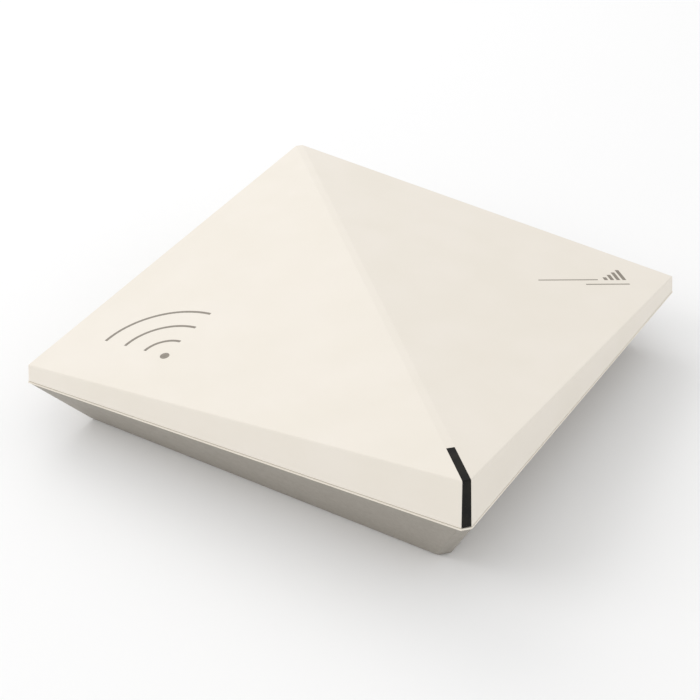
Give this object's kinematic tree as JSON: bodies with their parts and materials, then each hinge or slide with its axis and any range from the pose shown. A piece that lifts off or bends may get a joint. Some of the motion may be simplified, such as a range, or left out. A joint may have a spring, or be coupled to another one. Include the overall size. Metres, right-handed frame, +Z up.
{
  "type": "ceiling access point",
  "caption": "Square wireless access point with a roof folded along one diagonal, a dark light strip at the front corner, a tapered tray and a cable bay with ports below.",
  "frame": {"origin": "centre of the flat bottom, which faces the ceiling in use, on the surface the part stands on", "axes": "+Z up out of the folded roof; the sides lie along X and Y; the light strip is at the +X -Y corner and the cable bay opens towards +Y"},
  "size_m": [0.196, 0.196, 0.0495],
  "materials": {
    "cover_plastic": "fine-textured off-white, satin",
    "rim_plastic": "off-white, satin",
    "tray_paint": "warm grey powder coat on cast aluminium",
    "smoked_gloss": "smoked black, polished",
    "clear_acrylic": "clear moulded acrylic",
    "board_laminate": "green solder mask",
    "led_lens": "phosphor yellow lens",
    "ivory_nylon": "ivory nylon",
    "flex_film": "polyester film",
    "chip_epoxy": "black epoxy",
    "thermal_silicone": "soft silicone",
    "tinned_steel": "tin plate",
    "ferrite": "dark grey ferrite",
    "winding_tape": "yellow insulation tape",
    "capacitor_can": "satin can",
    "plate_aluminium": "rolled sheet",
    "antenna_brass": "stamped, bright",
    "gold_contact": "gold plated",
    "lead_jacket": "black jacket",
    "port_plastic": "black glass-filled",
    "lamp_lens": "pale green lens",
    "button_plastic": "dark grey",
    "insert_brass": "turned brass",
    "zinc_screw": "zinc plated",
    "label_film": "blank silver-white film"
  },
  "bodies": {
    "housing": {"antenna_leads": "lead_jacket", "antenna_plate": "plate_aluminium", "antennas_2g": "antenna_brass", "antennas_5g": "antenna_brass", "base_tray": "tray_paint", "board_screws": "zinc_screw", "bracket_inserts": "insert_brass", "capacitors": "capacitor_can", "coax_connectors": "gold_contact", "console_jack": "port_plastic", "cover_screws": "zinc_screw", "dc_jack": "port_plastic", "dc_pin": "gold_contact", "ethernet_jack_a": "port_plastic", "ethernet_jack_b": "port_plastic", "ethernet_magnetics": "chip_epoxy", "jack_contacts": "gold_contact", "jack_lamps": "lamp_lens", "led_board": "board_laminate", "led_cable": "flex_film", "led_connectors": "ivory_nylon", "light_guide": "clear_acrylic", "light_strip": "smoked_gloss", "lock_plate": "tinned_steel", "main_board": "board_laminate", "memory_chips": "chip_epoxy", "plate_screws": "zinc_screw", "plate_standoffs": "insert_brass", "poe_transformer": "ferrite", "processor": "chip_epoxy", "radio_chips": "chip_epoxy", "radio_shield_2g": "tinned_steel", "radio_shield_5g": "tinned_steel", "rating_label": "label_film", "reset_switch": "port_plastic", "rim_frame": "rim_plastic", "status_leds": "led_lens", "thermal_pad": "thermal_silicone", "top_cover": "cover_plastic", "transformer_winding": "winding_tape", "usb_shell": "tinned_steel", "usb_stand": "port_plastic", "usb_tongue": "ivory_nylon"},
    "reset_plunger": {"reset_button": "button_plastic"}
  },
  "joints": [
    {"name": "reset_press", "type": "slide", "parent": "housing", "child": "reset_plunger", "axis": [0, -1, 0], "range_m": [0, 0.0008], "stiffness_N_per_m": 600}
  ]
}
